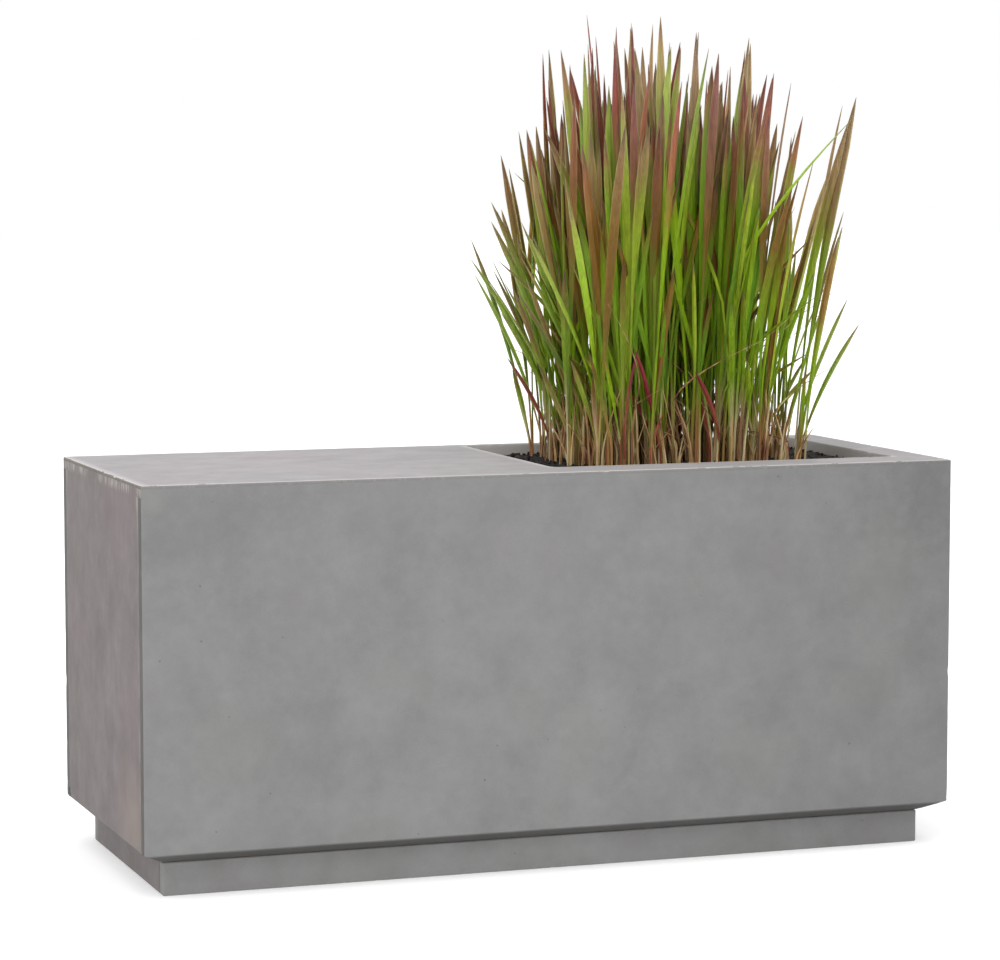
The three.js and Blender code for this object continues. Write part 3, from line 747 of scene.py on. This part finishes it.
def leaf_mesh(root, lean, part, turn, height, start, width, bend, kink):
    """Closed leaves, all at once. At t from 0 to 1 a leaf's middle is its root, raised by
    t x height, leaned out by lean x t^1.5 and, past its start, parted by part x s^1.3, where s
    is t from the start to the tip; a bent one goes off by kink x 1.4 (t - 0.5)^1.4 past 0.5. Its
    width grows as a smooth step over the first 62% of s and shrinks as ((1 - s) / 0.2)^0.7
    over the last 20%, on top of the sheath's own 3 mm, which dies out with (1 - s)^2. Its
    section is a V: edge, keel, edge, groove. The steps are closer towards the tip."""
    t = 1 - (1 - np.linspace(0, 1, leaf_steps)[None, :, None]) ** 1.3
    s = np.clip((t - start[:, None, None]) / (1 - start[:, None, None]), 0, 1)
    sideways = lean[:, None, :] * t ** 1.5 + part[:, None, :] * s ** 1.3
    sideways = sideways + kink[:, None, :] * np.clip(t - 0.5, 0, 1) ** 1.4 * 1.4
    middle = root[:, None, :] + np.concatenate([sideways, height[:, None, None] * t], axis=2)
    middle[:, :, 0:1] += np.sin(t * math.tau * 0.7 + bend[:, None, None] * 9) * 0.003 * t * (1 - t)
    angle = turn[:, None] + 0.6 * bend[:, None] * t[:, :, 0]
    across = np.stack([np.cos(angle), np.sin(angle), np.zeros_like(angle)], axis=2)
    facing = np.stack([-np.sin(angle), np.cos(angle), np.zeros_like(angle)], axis=2)
    rise = np.clip(s / 0.62, 0, 1)
    rise = rise * rise * (3 - 2 * rise)
    taper = np.clip((1 - s) / 0.2, 0, 1) ** 0.7
    sheath = sheath_half * (1 - s) ** 2
    half = np.maximum(width[:, None, None] / 2 * rise * taper + sheath, tip_half)
    keel = np.maximum(sheath, np.minimum(half, keel_depth))
    section = np.stack([
        middle - across * half + facing * half * 0.3,
        middle - facing * keel,
        middle + across * half + facing * half * 0.3,
        middle + facing * keel * 0.3,
    ], axis=2)
    leaves = len(root)
    per_leaf = leaf_steps * section_points
    step, corner = np.meshgrid(np.arange(leaf_steps - 1), np.arange(section_points), indexing="ij")
    here = step * section_points + corner
    beside = step * section_points + (corner + 1) % section_points
    quads = np.stack([here, beside, beside + section_points, here + section_points], axis=-1)
    ends = np.arange(section_points)
    faces = np.concatenate([quads.reshape(-1, 4), [ends[::-1], ends + per_leaf - section_points]])
    faces = faces[None] + np.arange(leaves)[:, None, None] * per_leaf
    return section.reshape(-1, 3), faces.reshape(-1, 4), np.broadcast_to(s, (leaves, leaf_steps, 4)).ravel()


def leaves_on(root, u, v, reach, draw, parting, width, kink):
    """Leaves on given roots, at shares u and v of the way from the planting's middle to its
    sides. A leaf leans out by its height times a slope that grows towards the sides, and the
    shorter the leaf, the more it leans; every tip is held inside the bench's outline. Kink is
    how far a bent leaf may go off to either side."""
    count = len(root)
    tallest = tallest_leaf - 0.115 * np.clip(u, 0, 1) ** 1.15 - 0.1 * np.clip(-u, 0, 1) ** 3
    height = tallest * reach
    left_slope = np.minimum(0.05 + 1.5 * (1 - reach) ** 2, 0.44) * draw.uniform(0.2, 1.15, count) ** 1.8 * 1.1
    right_slope = (0.2 + 0.5 * (1 - reach) ** 2) * draw.uniform(0.1, 1.1, count) ** 1.3
    slope_y = np.where(v < 0, 0.12 + 0.20 * (1 - reach), 0.08 + 0.12 * (1 - reach))
    slopes = np.stack([
        np.where(u < 0, -left_slope * np.abs(u) ** 0.9, right_slope * np.abs(u) ** 1.3),
        slope_y * np.sign(v) * np.abs(v) ** 1.3 * draw.uniform(0.5, 1.15, count),
    ], axis=1)
    stray = (0.035 + 0.13 * (1 - reach)) * (1 - 0.6 * np.abs(u) ** 2)
    slopes += draw.normal(0, 1, (count, 2)) * stray[:, None]
    lean = height[:, None] * slopes
    spin = draw.uniform(0, math.tau, count)
    part = np.stack([np.cos(spin), np.sin(spin)], axis=1) * (parting * draw.uniform(0.2, 1, count))[:, None]
    bent = draw.uniform(-1, 1, (count, 2)) * kink
    tip = root + lean + part + bent * 0.53
    lean += np.clip(tip, tip_low, tip_high) - tip
    foot = np.column_stack([root, np.full(count, grass_foot)])
    return leaf_mesh(
        foot, lean, part, draw.normal(0, 0.55, count), height, draw.uniform(0.14, 0.36, count),
        width, draw.uniform(-1, 1, count), bent,
    )


# Lowest and highest share of the full height, least and greatest width, and how much the low
# end of that range is favoured, for the four leaves that a shoot carries
leaf_reach = np.array([[0.74, 1.0], [0.6, 0.92], [0.44, 0.78], [0.24, 0.6]])
leaf_width = np.array([[0.0096, 0.0138], [0.0072, 0.012], [0.005, 0.0094], [0.0044, 0.0082]])
leaf_favour = np.array([1.6, 1.5, 1.4, 1.4])


def clump(number, shoots, shortness):
    """One clump: shoots scattered over its quarter of the planted strip, closer in its middle
    or, in the first and last, thinning out to the ends. Each has four leaves from tall to
    short, of which few reach the full height, the fewer the greater the shortness, and a few
    short young leaves are red all over."""
    leaves = len(leaf_reach)
    draw = np.random.default_rng(clump_seed + number)
    low = np.array(planted_low)
    size = np.array(planted_high) - low
    share = draw.uniform(0, 1, (shoots, 2))
    middle_pull = 0.12 * np.sin(share[:, 0] * math.tau)
    if number == 0:
        middle_pull = share[:, 0] ** 0.85 - share[:, 0]
    if number == clump_count - 1:
        middle_pull = share[:, 0] ** 1.35 - share[:, 0]
    share[:, 0] = (number + share[:, 0] + middle_pull) / clump_count
    share = np.repeat(share, leaves, axis=0)
    root = low + share * size + draw.normal(0, root_scatter, share.shape)
    root = np.clip(root, low, np.array(planted_high))
    rank = np.tile(np.arange(leaves), shoots)
    chance = draw.uniform(0, 1, len(root)) ** (leaf_favour[rank] * shortness)
    reach = leaf_reach[rank, 0] + (leaf_reach[rank, 1] - leaf_reach[rank, 0]) * chance
    young = (rank == 3) & (draw.uniform(0, 1, len(root)) < young_share)
    reach = np.where(young, draw.uniform(0.12, 0.28, len(root)), reach)
    width = draw.uniform(leaf_width[rank, 0], leaf_width[rank, 1])
    u = share[:, 0] * 2 - 1
    v = share[:, 1] * 2 - 1
    may_bend = (draw.uniform(0, 1, len(root)) < bent_share) & (reach < 0.8)
    bent = np.where(may_bend, bent_kink, 0)[:, None]
    points, faces, along = leaves_on(root, u, v, reach, draw, 0.01 + 0.04 * (1 - reach), width, bent)
    red = draw.uniform(0.5, 1.0, len(root)) + 0.08 * rank - 0.15 * u ** 2
    kind = draw.uniform(0, 1, len(root))
    red = np.where(kind < 0.1, 1.5, np.where(kind > 0.93, 0.25, red))
    hue = draw.uniform(0, 0.93, len(root))
    red = np.where(young, -0.5, red)
    hue = np.where(young, 1, hue)
    shade = draw.uniform(0.63, 1.14, len(root))
    per_leaf = leaf_steps * section_points
    return points, faces, {
        "along": along, "red": np.repeat(red, per_leaf), "hue": np.repeat(hue, per_leaf),
        "shade": np.repeat(shade, per_leaf),
    }


# Grass blade: waxy, half matt, and thin enough for light to come through; green with fine
# veins, turning olive brown and then rosy towards the tip. Painted light makes it paler higher
# up and at the ends of the stand, where it is in full light; painted shade darkens it low down.
blade, tree, shader, place = new_material("blood grass leaf")
along, red_from, hue, shade = [
    node(tree, "Attribute", {"attribute_name": key}).outputs["Fac"]
    for key in ("along", "red", "hue", "shade")
]
upright = node(tree, "SeparateXYZ", {}, {0: place})
up = upright.outputs["Z"]
fresh_greens = ramp(
    tree, hue, (0.0, "#628812"), (0.25, "#789a10"), (0.5, "#88a816"), (0.75, "#92a428"),
    (0.93, "#66961e"), (1.0, "#66961e"),
)
# Painted light: greens turn paler olive towards the top of the stand
greens = tint(tree, fresh_greens, "#9c9e68", span(tree, up, 0.77, 0.95, 0, 0.65))
rosy_reds = ramp(
    tree, hue, (0.0, "#823c3c"), (0.25, "#985650"), (0.5, "#a07458"), (0.72, "#a49268"),
    (0.93, "#8c505a"), (1.0, "#92303c"),
)
grown = maths(tree, "LESS_THAN", hue, 0.95)
browned = maths(tree, "MULTIPLY", span(tree, up, 0.93, 0.74, 0, 0.92), grown)
reds = tint(tree, rosy_reds, "#7a5a1a", browned)
flecks = noise(tree, place, 0.005, 2, stretch=(1, 1, 0.12))
where = maths(tree, "ADD", along, maths(tree, "MULTIPLY_ADD", flecks, 0.4, -0.2))
where_up = maths(tree, "ADD", where, span(tree, up, 0.70, 0.85, 0, 0.03))
past = maths(tree, "SUBTRACT", where_up, red_from)
redness = span(tree, past, -0.28, 0.12, way="SMOOTHSTEP")
green_and_red = node(tree, "Mix", {"data_type": "RGBA"}, {0: redness, 6: greens, 7: reds})
dry_tip = span(tree, along, 0.88, 1, 0, 0.75)
leaf = tint(tree, green_and_red.outputs[2], "#4e3a3c", dry_tip)
sheaths = ramp(
    tree, hue, (0.0, "#e6ba7a"), (0.2, "#a65c42"), (0.4, "#fff0bc"), (0.6, "#5c3422"),
    (0.8, "#d8c074"), (0.93, "#bc6850"),
)
own_height = maths(tree, "MULTIPLY_ADD", shade, 0.13, up)
low_part = span(tree, own_height, 0.675, 0.59, way="SMOOTHSTEP")
planting_middle = (planted_low[0] + planted_high[0]) / 2
from_middle = maths(tree, "SUBTRACT", upright.outputs["X"], planting_middle)
# Painted light: leaves far out at the ends of the stand are paler, as if lit through
lit_through = span(tree, maths(tree, "ABSOLUTE", from_middle), 0.14, 0.22, 0, 0.27)
outer_leaf = tint(tree, leaf, "#c4c49a", lit_through)
grass_colour = node(
    tree, "Mix", {"data_type": "RGBA"}, {0: low_part, 6: outer_leaf, 7: sheaths}
).outputs[2]
# Veins are 0.3 mm apart on the real leaf, too fine to show, so they are drawn 1.8 mm apart
veins = noise(tree, place, 0.0018, 1, stretch=(1, 1, 0.03))
vein = span(tree, maths(tree, "ADD", flecks, veins), 0.65, 1.35, 0.76, 1.2)
# Tone by height: painted shade low in the stand and painted light towards its top
veins_and_painted_light = maths(tree, "MULTIPLY", vein, span(tree, up, 0.55, 0.95, 0.92, 1.15))
leaf_tone = maths(tree, "MULTIPLY", veins_and_painted_light, shade)
grass_tone = node(
    tree, "VectorMath", {"operation": "SCALE"}, {0: grass_colour, "Scale": leaf_tone}
)
tree.links.new(grass_tone.outputs[0], shader.inputs["Base Color"])
shader.inputs["Roughness"].default_value = 0.55
shader.inputs["IOR"].default_value = 1.42
shader.inputs["Specular IOR Level"].default_value = 0.22
shader.inputs["Subsurface Weight"].default_value = 0.4
shader.inputs["Subsurface Radius"].default_value = (1.0, 1.0, 0.6)
shader.inputs["Subsurface Scale"].default_value = 0.0012

for number, (shoots, shortness) in enumerate(((48, 1.3), (52, 1), (48, 1), (21, 1.2))):
    points, faces, values = clump(number, shoots, shortness)
    make_piece(
        f"grass_clump_{number + 1}_leaves", points, faces, blade,
        [f"grass_clump_{number + 1}"], values, leaf_crisp_angle,
    )

# Dry straws: dead sheaths standing short and close round the shoots, and thin dead leaves
# lying slanted among them
stub_count = 240
strand_count = 80
stub_parting = 0.015
strand_parting = 0.09
strand_kink = 0.25
straw_count = stub_count + strand_count
draw = np.random.default_rng(77)
share = draw.uniform(0, 1, (straw_count, 2))
root = np.array(planted_low) + share * (np.array(planted_high) - np.array(planted_low)) * (0.95, 1)
stub = np.arange(straw_count) < stub_count
reach = np.where(stub, draw.uniform(0.06, 0.2, straw_count), draw.uniform(0.1, 0.42, straw_count))
points, faces = leaves_on(
    root, draw.uniform(-0.5, 0.5, straw_count), draw.uniform(-0.5, 0.5, straw_count), reach, draw,
    np.where(stub, stub_parting, strand_parting), draw.uniform(0.0005, 0.002, straw_count),
    np.where(stub, 0, strand_kink)[:, None],
)[:2]
# Dead leaf: matt, bleached in blotches from dark red-brown to pale straw
straw, tree, shader, place = new_material("dry grass")
bleach = noise(tree, place, 0.014, 2, stretch=(1, 1, 0.2))
straw_tone = ramp(
    tree, bleach, (0.34, "#6c4634"), (0.46, "#a0744e"), (0.56, "#c2a06e"), (0.68, "#dcc898"),
)
tree.links.new(straw_tone, shader.inputs["Base Color"])
shader.inputs["Roughness"].default_value = 0.7
make_piece("dry_straws", points, faces, straw, [])

# Studio: a pale floor, a bright even surround, and one very broad soft light overhead. The
# floor gives off some light of its own, as a light table does, so its shadows stay short.
floor_reach = 30
floor_mesh = bpy.data.meshes.new("studio_floor")
floor_mesh.from_pydata(
    [(-floor_reach, -floor_reach, 0), (floor_reach, -floor_reach, 0),
     (floor_reach, floor_reach, 0), (-floor_reach, floor_reach, 0)],
    [], [(0, 1, 2, 3)],
)
floor = bpy.data.objects.new("studio_floor", floor_mesh)
bpy.context.scene.collection.objects.link(floor)
paint, tree, shader, place = new_material("pale studio floor")
shader.inputs["Base Color"].default_value = linear("#e7e7e7")
shader.inputs["Emission Color"].default_value = (1, 1, 1, 1)
shader.inputs["Emission Strength"].default_value = 0.32
shader.inputs["Roughness"].default_value = 0.9
floor_mesh.materials.append(paint)

world = bpy.data.worlds.new("studio")
bpy.context.scene.world = world
world.use_nodes = True
sky = world.node_tree.nodes["Background"]
sky.inputs["Color"].default_value = (1, 1, 1, 1)
sky.inputs["Strength"].default_value = 1.0

light_data = bpy.data.lights.new("overhead", "SUN")
light_data.angle = math.radians(70)
light_data.energy = 1.2
light = bpy.data.objects.new("overhead", light_data)
light.rotation_euler = (math.radians(20), math.radians(-12), 0)
bpy.context.scene.collection.objects.link(light)

bpy.context.scene.view_settings.view_transform = "Standard"
